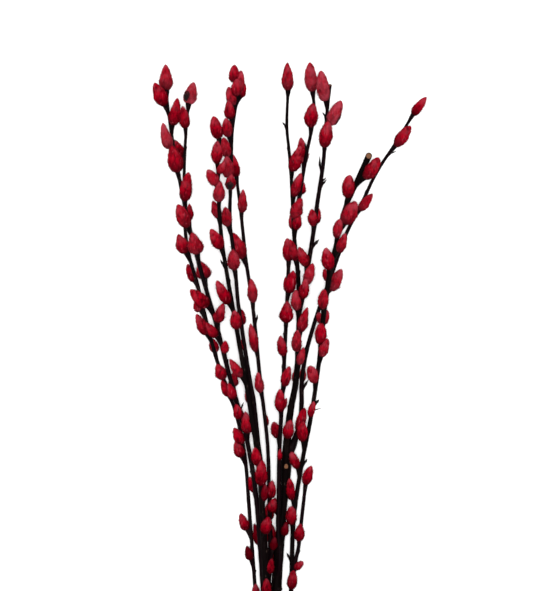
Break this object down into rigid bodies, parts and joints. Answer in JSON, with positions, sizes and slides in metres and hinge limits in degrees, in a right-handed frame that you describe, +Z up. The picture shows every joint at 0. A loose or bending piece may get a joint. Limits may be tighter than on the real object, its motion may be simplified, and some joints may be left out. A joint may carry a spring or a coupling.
{
  "type": "willow branch",
  "caption": "Cut pussy-willow branch lying on its side, thin dark shoots fanning out from one thick stem, with pointed red furry catkins along every shoot, for a vase or a wreath.",
  "frame": {"origin": "the surface the branch lies on, under the middle of its outline", "axes": "+Y from the cut butt to the shoot tips, +Z up from the surface, +X to the right-hand side of the fan seen from above"},
  "size_m": [0.2188, 0.5458, 0.0673],
  "materials": {
    "old_bark": "dark purple-brown bark, satin, with olive streaks, leaf-scar ledges and fine lengthwise ridges",
    "young_bark": "near-black purple-brown bark of young shoots, satin",
    "catkin_fur": "matt crimson fur, dusty pink on the tips of the hairs, dark wine red at the seat"
  },
  "bodies": {
    "root": {"main_stem": "old_bark", "main_stem_catkin_1": "catkin_fur", "main_stem_catkin_2": "catkin_fur", "main_stem_catkin_3": "catkin_fur", "main_stem_tip_catkin": "catkin_fur", "upper_fork_shoot": "young_bark", "upper_fork_shoot_catkin_1": "catkin_fur", "upper_fork_shoot_tip_catkin": "catkin_fur", "right_fork_shoot": "young_bark", "right_fork_shoot_catkin_1": "catkin_fur", "right_fork_shoot_catkin_2": "catkin_fur", "right_fork_shoot_catkin_3": "catkin_fur", "right_fork_shoot_catkin_4": "catkin_fur", "right_fork_shoot_catkin_5": "catkin_fur", "middle_shoot": "young_bark", "middle_shoot_catkin_1": "catkin_fur", "middle_shoot_catkin_2": "catkin_fur", "middle_shoot_tip_catkin": "catkin_fur", "right_shoot": "old_bark", "right_shoot_catkin_1": "catkin_fur", "right_shoot_catkin_2": "catkin_fur", "right_shoot_catkin_3": "catkin_fur", "right_shoot_catkin_4": "catkin_fur", "right_shoot_catkin_5": "catkin_fur", "right_shoot_catkin_6": "catkin_fur", "far_right_shoot": "young_bark", "far_right_shoot_catkin_1": "catkin_fur", "far_right_shoot_catkin_2": "catkin_fur", "far_right_shoot_catkin_3": "catkin_fur", "far_right_shoot_tip_catkin": "catkin_fur", "right_side_twig": "young_bark", "right_side_twig_tip_catkin": "catkin_fur", "far_left_shoot": "young_bark", "far_left_shoot_catkin_1": "catkin_fur", "far_left_shoot_catkin_2": "catkin_fur", "far_left_shoot_catkin_3": "catkin_fur", "far_left_shoot_catkin_4": "catkin_fur", "far_left_shoot_catkin_5": "catkin_fur", "far_left_shoot_catkin_6": "catkin_fur", "far_left_shoot_catkin_7": "catkin_fur", "far_left_shoot_catkin_8": "catkin_fur", "far_left_shoot_tip_catkin": "catkin_fur", "low_left_shoot": "young_bark", "low_left_shoot_catkin_1": "catkin_fur", "low_left_shoot_catkin_2": "catkin_fur", "low_left_shoot_tip_catkin": "catkin_fur", "left_shoot": "old_bark", "left_shoot_catkin_1": "catkin_fur", "left_shoot_catkin_2": "catkin_fur", "left_shoot_catkin_3": "catkin_fur", "left_shoot_catkin_4": "catkin_fur", "left_shoot_tip_catkin": "catkin_fur", "left_fork_shoot": "young_bark", "left_fork_shoot_tip_catkin": "catkin_fur", "inner_left_shoot": "young_bark", "inner_left_shoot_catkin_1": "catkin_fur", "inner_left_shoot_catkin_2": "catkin_fur", "inner_left_shoot_catkin_3": "catkin_fur", "inner_left_shoot_catkin_4": "catkin_fur", "inner_left_shoot_tip_catkin": "catkin_fur"}
  },
  "joints": []
}
